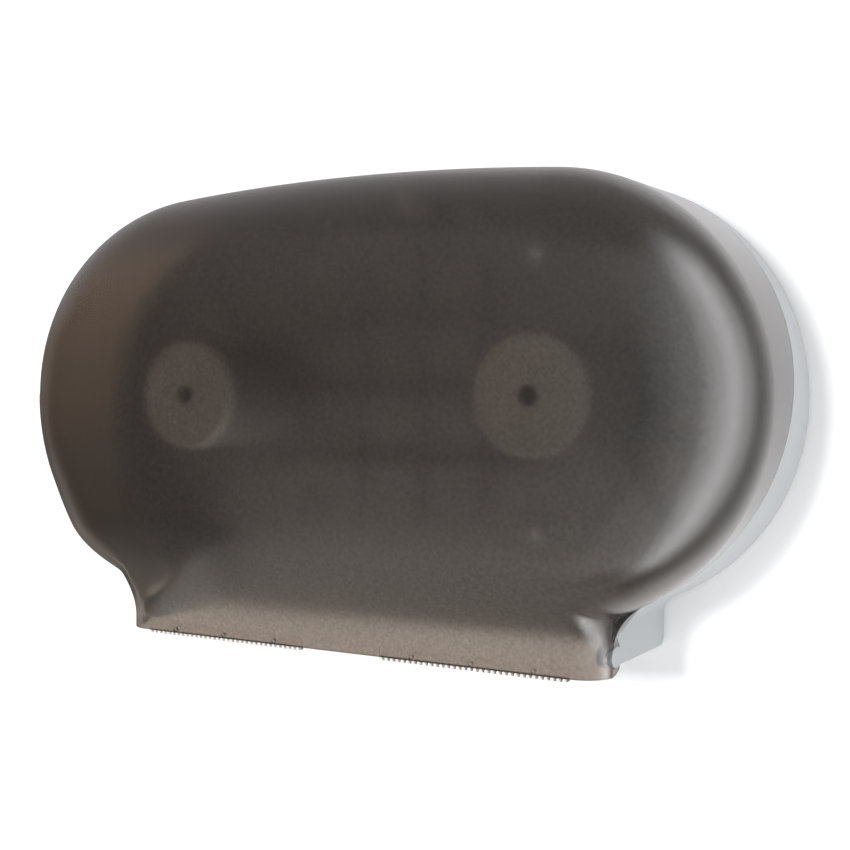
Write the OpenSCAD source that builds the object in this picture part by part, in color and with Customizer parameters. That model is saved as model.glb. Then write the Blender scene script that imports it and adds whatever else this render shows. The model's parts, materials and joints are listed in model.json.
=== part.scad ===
// Twin jumbo toilet roll dispenser, hung on a wall.
// The wall is the plane y = 0, the front faces -Y, X runs across and Z up.
// The origin is on the wall, on the centre line, at the height of the spindles.

/* [Overall] */
// Distance between the axes of the two roll spindles
spindle_gap = 246; // [238:1:262]
// Radius of each round end where it meets the wall
lobe_r = 131; // [126:1:138]
// Rise of the arched top above the round ends
arch_rise = 4; // [2:0.5:8]
// Depth from the wall to the front of the cover
body_depth = 137; // [132:1:146]
// Taper of the sides towards the front, in degrees
draft = 2; // [1:0.25:3]

/* [Cover] */
// Wall thickness of the cover
cover_wall = 2.8; // [2.2:0.1:3.4]
// Depth of the straight sides, up to the crease
side_depth = 65; // [58:1:72]
// Width of the large rounding round the front
front_round = 60; // [50:1:66]
// Rise of the crown of the front
crown = 6; // [3:0.5:9]
// Width of the neck below the round ends
neck_w = 340; // [330:1:350]
// Radius between a round end and the neck
neck_fillet = 10; // [6:1:14]
// Depth of the straight sides of the neck
neck_side = 94; // [90:1:98]
// Rounding of the front corners of the neck
neck_round = 13; // [8:1:16]
// Height of the lip below the spindles
lip_drop = 154; // [152:1:160]
// Distance that the lip is tucked back from the front
lip_tuck = 33; // [28:1:36]
// Height below the spindles at which the tuck starts
tuck_start = 86; // [80:1:96]
// Height of the upright land on the lip
lip_land = 7; // [6:0.5:9]

/* [Base tray] */
// Thickness of the back plate
plate_t = 3; // [2.4:0.2:3.6]
// Thickness of the rim
rim_t = 3; // [2.4:0.2:3.6]
// Depth of the rim at spindle height
seam_depth = 30; // [28:1:34]
// Slope of the seam between rim and cover
seam_slope = 0.19; // [0.16:0.01:0.19]
// Gap between the rim and the cover
seam_gap = 0.5; // [0.3:0.1:1]
// Depth of the flange along the lower edge
sill_depth = 12; // [8:1:16]
// Rounding of the lower edge at the wall
edge_round = 5; // [3:0.5:6]
// Height of the stiffening ribs on the back plate
rib_h = 6; // [4:1:8]
// Thickness of the stiffening ribs
rib_t = 2; // [1.6:0.2:3]

/* [Wall screws] */
// Distance across between the wall screw holes
wall_hole_x = 168; // [150:1:176]
// Distance up between the wall screw holes
wall_hole_z = 178; // [160:1:184]
// Diameter of the wall screw holes
wall_hole_d = 6; // [5:0.5:7]
// Diameter of the pads round the wall screw holes
wall_pad_d = 20; // [16:1:24]
// Height of the pads round the wall screw holes
wall_pad_h = 3; // [2:0.5:5]

/* [Hinge] */
// Distance of the hinge axis from the wall
hinge_out = 82; // [80:1:84]
// Height of the hinge axis below the spindles
hinge_drop = 143.7; // [142.5:0.1:144.5]
// Diameter of the hinge pins
hinge_pin_d = 12.6; // [11:0.2:13]
// Diameter of the pin shanks in the ears
hinge_shank_d = 7; // [5:0.5:8]
// Radial clearance of a running fit
run_fit = 0.05; // [0.02:0.01:0.08]
// Length of the slot in the cover in front of each pin
hook_slot = 5.5; // [3:0.5:6]
// Thickness of the hinge ears
ear_t = 7; // [6:0.5:10]
// Gap between the ears and the inside of the cover
ear_gap = 0.3; // [0.3:0.1:0.6]

/* [Spindles] */
// Diameter of the roll hubs
hub_d = 70; // [66:1:74]
// Distance of the hub faces from the wall
hub_out = 97.5; // [95:0.5:102]
// Distance of the open ends of the hubs from the wall
hub_back = 13; // [12:0.5:16]
// Wall thickness of the hubs
hub_wall = 2.4; // [2:0.1:3]
// Rounding of the rim of the hub faces
hub_rim = 2; // [1:0.5:3]
// Diameter of the hole in each hub face
hub_hole_d = 12.7; // [12:0.1:14]
// Depth of the hole in each hub face
hub_hole_depth = 7.5; // [6.5:0.5:9]
// Thickness of the web at the bottom of the hole
hub_web = 4; // [3:0.5:5]
// Number of ribs inside each hub
hub_ribs = 6; // [4:1:8]
// Diameter of the fixed posts
post_d = 16; // [14:0.5:18]
// Diameter of the necks at the ends of the posts
post_neck_d = 8; // [7:0.5:9]
// Diameter of the feet of the posts
foot_d = 54; // [48:1:58]
// Thickness of the feet of the posts
foot_t = 4; // [3:0.5:5]
// Height of the pads under the feet
foot_pad_h = 3; // [2:0.5:4]
// Distance of the foot screws from the post's axis
foot_screw_r = 19; // [17:0.5:20]
// Number of screws in each foot
foot_screws = 3; // [3:1:4]
// Diameter of the screws
screw_d = 3.8; // [3:0.2:4.2]
// Diameter of the screw heads
screw_head_d = 7.4; // [6.6:0.2:8]
// Height of the screw heads
screw_head_h = 2.4; // [1.8:0.2:3]
// Axial play of each hub
hub_play = 0.3; // [0.2:0.1:0.5]

/* [Tear bars] */
// Number of teeth on each tear bar
teeth = 33; // [25:1:36]
// Distance from tooth to tooth
tooth_pitch = 3.68; // [3.4:0.02:3.7]
// Distance from the centre line to the first tooth
tooth_start = 30; // [24:1:32]
// Diameter of the rounded teeth
tooth_d = 2.1; // [1.7:0.1:2.2]
// Distance that the tear bars hang below the lip
bar_drop = 2.4; // [2.2:0.1:3]
// Radius of the lower corners of the tear bars
bar_corner = 2; // [1:0.25:2.5]
// Height of the tear bars
bar_h = 8; // [7:0.5:9]
// Thickness of the tear bars
bar_t = 1.6; // [1.2:0.1:2]
// Diameter of the stakes that hold the tear bars
stake_d = 2.6; // [2:0.2:3]

/* [Lock] */
// Distance of the lock's axis from the wall
lock_out = 24; // [22:0.5:26]
// Diameter of the lock housing
lock_d = 16; // [14:0.5:17]
// Diameter of the flange of the lock housing
lock_flange_d = 21; // [19:0.5:24]
// Thickness of the flange of the lock housing
lock_flange_t = 1.6; // [1.2:0.2:2.4]
// Length of the lock housing under its flange
lock_len = 14; // [13:0.5:16]
// Diameter of the lock plug
plug_d = 10; // [8:0.5:11]
// Width across the flats of the lock nut
nut_w = 21; // [19:0.5:23]
// Height of the lock nut
nut_h = 3; // [2:0.5:4]
// Length of the cam from the lock's axis
cam_len = 17; // [15:0.5:18]
// Width of the cam
cam_w = 9; // [7:0.5:9]
// Thickness of the cam
cam_t = 2; // [1.5:0.5:3]
// Sheet thickness of the strike bracket
strike_t = 1.6; // [1.2:0.2:2]
// Height of the strike bracket
strike_h = 13; // [10:0.5:15]

/* [Hidden] */
$fn = 64;
taper = tan(draft);
spindle_x = spindle_gap / 2;
// Arch of the top, tangent to both round ends
top_z = lobe_r + arch_rise;
arch_r = (spindle_x ^ 2 + top_z ^ 2 - lobe_r ^ 2) / (2 * arch_rise);
arch_z = top_z - arch_r;
arch_angle = atan2(spindle_x, -arch_z);
neck_x = neck_w / 2;
// Points along each stretch of half an outline
n_arch = 7;
n_lobe = 32;
n_fillet = 4;
n_neck = 4;
n_bottom = 10;
n_side = n_arch + n_lobe + n_fillet + n_neck;
n_half = n_side + n_bottom;
n_ring = 2 * n_half;
// Steps across the rounding of the front, then over the crown
round_steps = 8;
crown_steps = [0.6, 0.73, 0.86];
crown_reach = 112;
lip_out = body_depth - lip_tuck;
// Heights between which the crease moves forward to the neck
crease_from = -96;
crease_to = -132;
// Height below the spindles of the lower edge of the tray
hinge_r = hinge_pin_d / 2;
base_drop = hinge_drop + hinge_r + 0.3;
base_x = neck_x - cover_wall - ear_gap;
hinge_y = -hinge_out;
hinge_z = -hinge_drop;
screw_r = screw_d / 2;
pilot_r = screw_r + 0.05;
// Stations along the spindle axis, measured from the wall
foot_seat = plate_t + foot_pad_h;
web_front = hub_out - hub_hole_depth;
web_back = web_front - hub_web;
neck_end = web_front + hub_play;
sleeve_r = post_d / 2 + run_fit + 2.6;
washer_t = 1;
washer_r = hub_hole_d / 2 - 0.35;
hub_screw_len = 15;
// Tear bars lie against the inside of the lip
bar_y = cover_wall - lip_out;
bar_z = -lip_drop - bar_drop;
bar_end = tooth_start + (teeth - 1) * tooth_pitch;
tooth_z = -lip_drop - tooth_d / 2 - 0.1;
stakes = 3;
// Stations of the lock, measured up from the spindles
lock_y = -lock_out;
pad_r = lock_flange_d / 2 + 2.5;
pad_top = top_z - (lock_out - pad_r) * taper + 0.1;
pad_low = top_z - cover_wall - (lock_out + pad_r) * taper - pad_r ^ 2 / (2 * arch_r) - 0.1;
plug_r = plug_d / 2;
lock_low = pad_top - lock_len;
plug_low = lock_low - 1.5;
cam_low = plug_low - cam_t;
// Strike bracket stands beside the path of the cam
strike_x = lock_d / 2 + 1.5;
strike_arm_x = cam_len + 4;
strike_y = lock_y - cam_w / 2 - 2;
strike_z = cam_low + cam_t / 2;
strike_foot = 24;

function smooth(u) = let(v = min(1, max(0, u))) v * v * (3 - 2 * v);

// One point of an outline, counted from the top centre down the right side
function half_point(i, inset, half_w, low) =
    let(r = lobe_r - inset,
        fx = half_w + neck_fillet - spindle_x,
        fz = sqrt((r + neck_fillet) ^ 2 - fx ^ 2),
        k1 = i - n_arch, k2 = k1 - n_lobe, k3 = k2 - n_fillet, k4 = k3 - n_neck,
        a1 = 90 - arch_angle, a2 = -atan2(fz, fx), f1 = atan2(fz, -fx))
    k1 <= 0 ? let(a = arch_angle * i / n_arch)
        [(arch_r - inset) * sin(a), arch_z + (arch_r - inset) * cos(a)] :
    k2 <= 0 ? let(a = a1 + (a2 - a1) * k1 / n_lobe) [spindle_x + r * cos(a), r * sin(a)] :
    k3 <= 0 ? let(a = f1 + (180 - f1) * k2 / n_fillet)
        [half_w + neck_fillet * (1 + cos(a)), -fz + neck_fillet * sin(a)] :
    k4 <= 0 ? [half_w, -fz + (fz - low) * k3 / n_neck] :
    [half_w * cos(90 * k4 / n_bottom), -low];

function half_index(i) = i <= n_half ? i : n_ring - i;
function side_sign(i) = i <= n_half ? 1 : -1;
function on_bottom(i) = half_index(i) > n_side;
function ring_point(i, inset, half_w, low) =
    let(p = half_point(half_index(i), inset, half_w, low)) [side_sign(i) * p.x, p.y];

// Point of the spine towards which the rings of the front close in
function spine_point(i, half_w) =
    let(j = half_index(i))
    side_sign(i) * (j <= n_arch ? spindle_x * j / n_arch :
        j <= n_side ? spindle_x : spindle_x * cos(90 * (j - n_side) / n_bottom));

function seam_y(z) = -(seam_depth - seam_slope * z);
function crease_y(z) =
    -(side_depth + (neck_side - side_depth) * smooth((crease_from - z) / (crease_from - crease_to)));

// Distance of a point of the front from the side outline, softened in the valley at the neck
function edge_distance(x, z, off) =
    let(ax = abs(x),
        inset = side_depth * taper + off,
        lobe = lobe_r - inset - norm([ax - spindle_x, z]),
        neck = neck_x - off - ax,
        both = max(lobe, neck, 0))
    atan2(ax, z - arch_z) < arch_angle ? arch_r - inset - norm([ax, z - arch_z]) :
    z >= 0 ? max(0, lobe) :
    max(0, 0.5 * (lobe + neck + sqrt((lobe - neck) ^ 2 + (0.7 * both) ^ 2)));

// Distance that sets the crown, which runs straight down below the spindles
function crown_distance(x, z, e) =
    z >= 0 ? e : lobe_r - side_depth * taper - max(0, abs(x) - spindle_x);

// Front surface of the shell, off being its distance inside the outer face
function front_y(x, z, off) =
    let(e = edge_distance(x, z, off),
        rise = 1 - min(1, crown_distance(x, z, e) / crown_reach),
        fade = smooth((-90 - z) / 50),
        r = front_round + (neck_round - front_round) * fade - off,
        u = min(1, e / r),
        tuck = lip_tuck * smooth((-z - tuck_start) / (lip_drop - lip_land - tuck_start)),
        face = -(body_depth - off) + crown * rise ^ 2 + tuck,
        crease = crease_y(z))
    crease + (face - crease) * sqrt(1 - (1 - u) ^ 2);

// Share of the way to the spine at each step of the front
function front_steps() = concat(
    [for (k = [1:round_steps]) (1 - cos(90 * k / round_steps)) * front_round / lobe_r], crown_steps);

function crease_ring(off) = [for (i = [0:n_ring - 1])
    let(half_w = neck_x - off,
        z = ring_point(i, side_depth * taper + off, half_w, lip_drop).y,
        p = ring_point(i, -crease_y(z) * taper + off, half_w, lip_drop))
    on_bottom(i) ? [p.x, front_y(p.x, p.y, off), p.y] : [p.x, crease_y(z), p.y]];

function seam_ring(off) = [for (i = [0:n_ring - 1])
    let(half_w = neck_x - off,
        z = ring_point(i, seam_depth * taper, neck_x, lip_drop).y,
        p = ring_point(i, -seam_y(z) * taper + off, half_w, lip_drop))
    [p.x, seam_y(z), p.y]];

// Ring of the front at one share of the way to the spine, flat at the last one
function front_ring(s, off) =
    let(edge = crease_ring(off), last = s == crown_steps[len(crown_steps) - 1])
    [for (i = [0:n_ring - 1])
        let(x = edge[i].x * (1 - s) + spine_point(i, neck_x - off) * s, z = edge[i].z * (1 - s))
        [x, last ? -(body_depth - off) : front_y(x, z, off), z]];

// Triangles of a band between two rings, given by the numbers of their points
function band(a, b) = [for (i = [0:n_ring - 1])
    let(j = (i + 1) % n_ring,
        one = [a[i], a[j], b[j]],
        two = [a[i], b[j], b[i]])
    for (t = [one, two]) if (t[0] != t[1] && t[1] != t[2] && t[2] != t[0]) t];
function flipped(triangles) = [for (t = triangles) [t[0], t[2], t[1]]];

// Triangles that close a ring: strips from side to side, then a fan along the lower edge
function cap(a) =
    let(s = n_side - 1, last = n_ring - n_side)
    concat([[a[0], a[1], a[n_ring - 1]]],
        [for (i = [1:s - 1]) each [[a[i], a[i + 1], a[n_ring - i - 1]], [a[i], a[n_ring - i - 1], a[n_ring - i]]]],
        [for (i = [n_side:last - 1]) [a[s], a[i], a[i + 1]]],
        [[a[s], a[last], a[last + 1]]]);

// Lofted shell of the cover, open at the back and along the bottom
module cover_shell() {
    steps = front_steps();
    n = len(steps);
    outer = [for (k = [n - 1:-1:0]) front_ring(steps[k], 0)];
    inner = [for (k = [0:n - 1]) front_ring(steps[k], cover_wall)];
    rings = concat(outer, [crease_ring(0), seam_ring(0), seam_ring(cover_wall),
                           crease_ring(cover_wall)], inner);
    points = [for (ring = rings) each ring];
    // On the bottom the shell has no side wall, so the seam there is the crease
    numbers = [for (k = [0:len(rings) - 1]) [for (i = [0:n_ring - 1])
        (on_bottom(i) && k == n + 1 ? n : on_bottom(i) && k == n + 2 ? n + 3 : k) * n_ring + i]];
    faces = concat(cap(numbers[0]),
        [for (k = [0:len(rings) - 2]) each band(numbers[k + 1], numbers[k])],
        flipped(cap(numbers[len(rings) - 1])));
    polyhedron(points = points, faces = faces, convexity = 10);
}

// Ring of the tray at one depth, off being its distance inside the outer face
function tray_ring(y, off) = [for (i = [0:n_ring - 1])
    let(p = ring_point(i, -y * taper + off, base_x - off, base_drop - off)) [p.x, y, p.y]];

// Ring of the tray along the slanted seam, cut back to the sill on the bottom
function rim_ring(off) = [for (i = [0:n_ring - 1])
    let(z = ring_point(i, seam_depth * taper, base_x, base_drop).y,
        y = on_bottom(i) ? -sill_depth : seam_y(z) + seam_gap,
        p = ring_point(i, -y * taper + off, base_x - off, base_drop - off))
    [p.x, y, p.y]];

// Dish of the tray: back plate and rim in one loft
module tray_shell() {
    rings = [tray_ring(0, 0), rim_ring(0), rim_ring(rim_t), tray_ring(-plate_t, rim_t)];
    numbers = [for (k = [0:3]) [for (i = [0:n_ring - 1]) k * n_ring + i]];
    faces = flipped(concat(cap(numbers[0]),
        [for (k = [0:2]) each band(numbers[k + 1], numbers[k])],
        flipped(cap(numbers[3]))));
    polyhedron(points = [for (ring = rings) each ring], faces = faces, convexity = 10);
}

// Round bar that stands out from the wall, from one distance to another
module post_at(x, z, r, near, far) {
    translate([x, -near, z]) rotate([90, 0, 0]) cylinder(r = r, h = far - near);
}

// Slab with a side profile given in Y and Z, between two distances across
module side_slab(profile, x0, x1) {
    translate([x0, 0, 0]) rotate([90, 0, 90]) linear_extrude(x1 - x0) polygon(profile);
}

module both_sides() {
    children();
    mirror([1, 0, 0]) children();
}

module wall_hole_places() {
    for (x = [-1, 1], z = [-1, 1]) translate([x * wall_hole_x / 2, 0, z * wall_hole_z / 2]) children();
}

module foot_screw_places() {
    for (side = [-1, 1], k = [0:foot_screws - 1])
        translate([side * spindle_x, 0, 0]) rotate([0, 90 + 360 * k / foot_screws, 0])
            translate([foot_screw_r, 0, 0]) children();
}

// Side profile of an ear: down to the sill, out to the hinge pin and back up inside the rim
ear_top = hinge_z + 33;
ear_profile = [[-1, -base_drop + 0.2], [hinge_y, hinge_z - hinge_r], [hinge_y - hinge_r, hinge_z],
    [hinge_y - 0.6 * hinge_r, hinge_z + 0.8 * hinge_r], [hinge_y + 18, hinge_z + 15],
    [seam_y(ear_top) + 4, ear_top], [-1, ear_top]];

module ear() {
    side_slab(ear_profile, base_x - ear_t, base_x);
    translate([base_x - ear_t, hinge_y, hinge_z]) rotate([0, 90, 0]) cylinder(r = hinge_r, h = ear_t);
}

// Corner that is cut away along the lower edge, leaving a quarter round
module edge_corner() {
    translate([-base_x - 1, 0, -base_drop]) rotate([90, 0, 90]) linear_extrude(2 * base_x + 2) difference() {
        translate([-edge_round, -1]) square(edge_round + 1);
        translate([-edge_round, edge_round]) circle(r = edge_round);
    }
}

module tray_ribs() {
    reach = spindle_x - foot_d / 2 - 4;
    rib_low = rib_t / 2;
    for (z = [-46, 0, 46])
        translate([-reach, -plate_t - rib_h, z - rib_low]) cube([2 * reach, rib_h + 0.5, rib_t]);
    for (x = [-46, 0, 46])
        translate([x - rib_low, -plate_t - rib_h, -wall_hole_z / 2]) cube([rib_t, rib_h + 0.5, wall_hole_z]);
    both_sides() for (a = [-60:30:60])
        translate([spindle_x, 0, 0]) rotate([0, -a, 0])
            translate([foot_d / 2 + 3, -plate_t - rib_h, -rib_low])
                cube([lobe_r - rim_t - foot_d / 2 - 6, rib_h + 0.5, rib_t]);
}

module base_tray() {
    color("lightslategray") difference() {
        union() {
            tray_shell();
            both_sides() ear();
            tray_ribs();
            both_sides() post_at(spindle_x, 0, foot_d / 2 + 1.5, plate_t - 0.5, foot_seat);
            wall_hole_places() post_at(0, 0, wall_pad_d / 2, plate_t - 0.5, plate_t + wall_pad_h);
        }
        edge_corner();
        wall_hole_places() post_at(0, 0, wall_hole_d / 2, -1, plate_t + wall_pad_h + 1);
        foot_screw_places() post_at(0, 0, pilot_r, 1, foot_seat + 1);
        both_sides() translate([base_x - ear_t - 1, hinge_y, hinge_z]) rotate([0, 90, 0])
            cylinder(r = hinge_shank_d / 2 + 0.02, h = ear_t + 2);
        for (k = [0, 1]) translate([strike_arm_x + 9 + 9 * k, 0, strike_z])
            post_at(0, 0, pilot_r, 1, plate_t + 1);
    }
}

// Side profile of what is cut away behind and round each hook of the cover
hook_cut = [[seam_y(-112) + 8, -118], [hinge_y + 24, hinge_z + 20.5], [hinge_y + 6.5, hinge_z + 14.4],
    [hinge_y - 3, hinge_z + 12], [hinge_y + 0.6, hinge_z + 9.2], [hinge_y + 3.9, hinge_z + 5],
    [hinge_y, hinge_z + 1], [hinge_y, hinge_z - 1], [hinge_y + 3.9, hinge_z - 5],
    [hinge_y + 6, -lip_drop - 1], [seam_y(-112) + 8, -lip_drop - 1]];

module hook_opening() {
    x0 = neck_x - cover_wall - 4;
    side_slab(hook_cut, x0, neck_x + 4);
    translate([x0, hinge_y, hinge_z]) rotate([0, 90, 0])
        cylinder(r = hinge_r + run_fit, h = cover_wall + 8);
    translate([x0, hinge_y - hook_slot, hinge_z]) rotate([0, 90, 0])
        cylinder(r = hinge_r - 0.4, h = cover_wall + 8);
    translate([x0, hinge_y - hook_slot, hinge_z - hinge_r + 0.4])
        cube([cover_wall + 8, hook_slot, 2 * hinge_r - 0.8]);
}

module stake_places() {
    for (side = [-1, 1], k = [0:stakes - 1])
        translate([side * (tooth_start + (bar_end - tooth_start) * (k + 0.5) / stakes), 0,
                   bar_z + bar_h / 2]) children();
}

module front_cover() {
    color("dimgray") difference() {
        union() {
            cover_shell();
            translate([0, lock_y, pad_low]) cylinder(r = pad_r, h = pad_top - pad_low);
            stake_places() post_at(0, 0, stake_d / 2, -bar_y - bar_t - 0.8, -bar_y + 1);
        }
        both_sides() hook_opening();
        translate([0, lock_y, pad_low - 1]) cylinder(r = lock_d / 2 + 0.1, h = pad_top - pad_low + 2);
    }
}

// Pin with a thick round end for the hook and a thinner shank in the ear
module hinge_pin() {
    head = cover_wall + ear_gap;
    soft = 0.6;
    translate([base_x - ear_t - 1, hinge_y, hinge_z]) rotate([0, 90, 0]) rotate_extrude()
        polygon([[0, 0], [hinge_shank_d / 2, 0], [hinge_shank_d / 2, ear_t + 1], [hinge_r, ear_t + 1],
                 [hinge_r, ear_t + 1 + head - soft], [hinge_r - soft, ear_t + 1 + head],
                 [0, ear_t + 1 + head]]);
}

module hinge_pin_right() {
    color("silver") hinge_pin();
}

module hinge_pin_left() {
    color("silver") mirror([1, 0, 0]) hinge_pin();
}

// Fixed post with a wide foot, a shoulder and a neck that carries the hub
module spindle_post(side) {
    translate([side * spindle_x, 0, 0]) difference() {
        rotate([90, 0, 0]) rotate_extrude()
            polygon([[0, foot_seat], [foot_d / 2, foot_seat], [foot_d / 2, foot_seat + foot_t - 1],
                     [foot_d / 2 - 1, foot_seat + foot_t], [post_d / 2, foot_seat + foot_t],
                     [post_d / 2, web_back - hub_play], [post_neck_d / 2, web_back - hub_play],
                     [post_neck_d / 2, neck_end], [0, neck_end]]);
        post_at(0, 0, pilot_r, neck_end - hub_screw_len - 1, neck_end + 1);
        for (k = [0:foot_screws - 1]) rotate([0, 90 + 360 * k / foot_screws, 0])
            post_at(foot_screw_r, 0, pilot_r + 0.15, foot_seat - 1, foot_seat + foot_t + 1);
    }
}

module spindle_post_left() {
    color("gainsboro") spindle_post(-1);
}

module spindle_post_right() {
    color("gainsboro") spindle_post(1);
}

// Cup-shaped hub that turns on the post, closed by the round face
module roll_hub(side) {
    r = hub_d / 2;
    inner = r - hub_wall;
    bore = post_d / 2 + run_fit;
    face = hub_out - hub_wall;
    translate([side * spindle_x, 0, 0]) rotate([90, 0, 0]) {
        rotate_extrude($fn = 128)
            polygon(concat(
                [[inner, hub_back], [r, hub_back]],
                [for (a = [0:15:90]) [r - hub_rim + hub_rim * cos(a), hub_out - hub_rim + hub_rim * sin(a)]],
                [[hub_hole_d / 2, hub_out], [hub_hole_d / 2, web_front],
                 [post_neck_d / 2 + run_fit, web_front], [post_neck_d / 2 + run_fit, web_back],
                 [bore, web_back], [bore, hub_back], [sleeve_r, hub_back], [sleeve_r, face],
                 [inner, face]]));
        for (k = [0:hub_ribs - 1]) rotate([0, 0, 360 * (k + 0.5) / hub_ribs])
            translate([sleeve_r - 0.5, -hub_wall / 2, hub_back + 3])
                cube([inner - sleeve_r + 1, hub_wall, face - hub_back - 2.5]);
    }
}

module roll_hub_left() {
    color("silver") roll_hub(-1);
}

module roll_hub_right() {
    color("silver") roll_hub(1);
}

module hub_washers() {
    color("lightgray") for (side = [-1, 1]) difference() {
        post_at(side * spindle_x, 0, washer_r, neck_end, neck_end + washer_t);
        post_at(side * spindle_x, 0, screw_r + 0.3, neck_end - 1, neck_end + washer_t + 1);
    }
}

// Cross-recessed screw whose head rests at a distance from the wall
module screw(seat, length) {
    difference() {
        union() {
            post_at(0, 0, screw_r, seat - length, seat + 0.5);
            post_at(0, 0, screw_head_d / 2, seat, seat + screw_head_h);
        }
        for (a = [0, 90]) translate([0, -seat - screw_head_h, 0]) rotate([0, a, 0])
            cube([0.55 * screw_head_d, 2.4, 0.9], center = true);
    }
}

module hub_screws() {
    color("darkgray") for (side = [-1, 1]) translate([side * spindle_x, 0, 0])
        screw(neck_end + washer_t, hub_screw_len);
}

module post_screws() {
    color("darkgray") foot_screw_places() screw(foot_seat + foot_t, foot_seat + foot_t - 1.5);
}

// Strip behind the lip with a row of rounded teeth that point forward under its edge
module tear_bar(side) {
    x0 = tooth_start - 2;
    x1 = bar_end + 2;
    corner = min(bar_corner, bar_h / 2);
    mirror([side < 0 ? 1 : 0, 0, 0]) difference() {
        union() {
            translate([x0, bar_y, bar_z + corner]) cube([x1 - x0, bar_t, bar_h - corner]);
            translate([x0 + corner, bar_y, bar_z]) cube([x1 - x0 - 2 * corner, bar_t, bar_h]);
            for (x = [x0 + corner, x1 - corner])
                post_at(x, bar_z + corner, corner, -bar_y - bar_t, -bar_y);
            for (k = [0:teeth - 1])
                post_at(tooth_start + k * tooth_pitch, tooth_z, tooth_d / 2, -bar_y - bar_t / 2, lip_out - 0.4,
                        $fn = 24);
        }
        for (k = [0:stakes - 1])
            post_at(tooth_start + (bar_end - tooth_start) * (k + 0.5) / stakes, bar_z + bar_h / 2,
                    stake_d / 2 + 0.05, -bar_y - bar_t - 1, -bar_y + 1);
    }
}

module tear_bar_left() {
    color("whitesmoke") tear_bar(-1);
}

module tear_bar_right() {
    color("whitesmoke") tear_bar(1);
}

module lock_housing() {
    color("silver") translate([0, lock_y, 0]) rotate_extrude()
        polygon([[plug_r + run_fit, lock_low], [lock_d / 2, lock_low], [lock_d / 2, pad_top],
                 [lock_flange_d / 2, pad_top], [lock_flange_d / 2, pad_top + lock_flange_t - 0.5],
                 [lock_flange_d / 2 - 0.5, pad_top + lock_flange_t], [plug_r + run_fit, pad_top + lock_flange_t]]);
}

module lock_nut() {
    color("gray") translate([0, lock_y, pad_low - nut_h]) difference() {
        cylinder(d = nut_w / cos(30), h = nut_h, $fn = 6);
        translate([0, 0, -1]) cylinder(r = lock_d / 2 + 0.05, h = nut_h + 2);
    }
}

// Turning plug with the slot for the key
module lock_plug() {
    color("darkgray") translate([0, lock_y, 0]) difference() {
        translate([0, 0, plug_low]) cylinder(r = plug_r, h = pad_top + lock_flange_t - 0.3 - plug_low);
        translate([-0.8, -0.35 * plug_d, pad_top - 8]) cube([1.6, 0.7 * plug_d, 10]);
        translate([0, 0, plug_low - 1]) cylinder(r = 1.5, h = 6);
    }
}

// Flat arm that turns behind the strike, drawn in its free position
module lock_cam() {
    color("silver") translate([0, lock_y, cam_low]) difference() {
        union() {
            cylinder(r = cam_w / 2 + 1, h = cam_t);
            translate([-cam_w / 2, 0, 0]) cube([cam_w, cam_len - cam_w / 2, cam_t]);
            translate([0, cam_len - cam_w / 2, 0]) cylinder(r = cam_w / 2, h = cam_t);
        }
        translate([0, 0, -1]) cylinder(r = 1.6, h = cam_t + 2);
    }
}

module cam_screw() {
    color("darkgray") translate([0, lock_y, 0]) difference() {
        union() {
            translate([0, 0, cam_low - 1.6]) cylinder(r = 3, h = 1.6);
            translate([0, 0, cam_low - 0.5]) cylinder(r = 1.45, h = cam_t + 4.5);
        }
        for (a = [0, 90]) translate([0, 0, cam_low - 1.6]) rotate([0, 0, a])
            cube([3.4, 0.7, 1.6], center = true);
    }
}

// Bent sheet: foot on the back plate, arm beside the cam and lip in front of it
module strike_bracket() {
    low = strike_z - strike_h / 2;
    color("gainsboro") difference() {
        union() {
            translate([strike_arm_x, -plate_t - strike_t, low]) cube([strike_foot, strike_t, strike_h]);
            translate([strike_arm_x, strike_y - strike_t, low])
                cube([strike_t, -plate_t - strike_y + strike_t, strike_h]);
            translate([strike_x, strike_y - strike_t, low])
                cube([strike_arm_x - strike_x + 0.5, strike_t, strike_h]);
        }
        for (k = [0, 1]) translate([strike_arm_x + 9 + 9 * k, 0, strike_z])
            post_at(0, 0, screw_r + 0.2, plate_t - 1, plate_t + strike_t + 1);
    }
}

module strike_screws() {
    color("darkgray") for (k = [0, 1]) translate([strike_arm_x + 9 + 9 * k, 0, strike_z])
        screw(plate_t + strike_t, plate_t + strike_t - 1.5);
}

base_tray();
front_cover();
hinge_pin_left();
hinge_pin_right();
spindle_post_left();
spindle_post_right();
post_screws();
roll_hub_left();
roll_hub_right();
hub_washers();
hub_screws();
tear_bar_left();
tear_bar_right();
lock_housing();
lock_nut();
lock_plug();
lock_cam();
cam_screw();
strike_bracket();
strike_screws();
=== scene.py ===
import json
import math

import bmesh
import bpy
import numpy as np
from mathutils import Matrix, Vector


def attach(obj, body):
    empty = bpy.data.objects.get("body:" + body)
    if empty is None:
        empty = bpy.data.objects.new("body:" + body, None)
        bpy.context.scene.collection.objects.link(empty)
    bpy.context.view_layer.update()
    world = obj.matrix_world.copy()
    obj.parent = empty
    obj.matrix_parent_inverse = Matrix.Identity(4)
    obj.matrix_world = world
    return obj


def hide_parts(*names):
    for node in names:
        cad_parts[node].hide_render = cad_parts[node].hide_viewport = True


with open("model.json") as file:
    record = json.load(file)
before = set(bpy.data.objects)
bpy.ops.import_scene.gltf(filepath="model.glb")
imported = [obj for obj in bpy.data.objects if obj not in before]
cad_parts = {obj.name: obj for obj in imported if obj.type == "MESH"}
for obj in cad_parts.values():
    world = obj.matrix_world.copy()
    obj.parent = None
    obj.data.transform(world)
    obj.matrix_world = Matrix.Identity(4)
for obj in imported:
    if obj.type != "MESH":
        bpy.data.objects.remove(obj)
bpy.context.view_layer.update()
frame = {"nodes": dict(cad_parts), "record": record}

MM = 0.001

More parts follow.
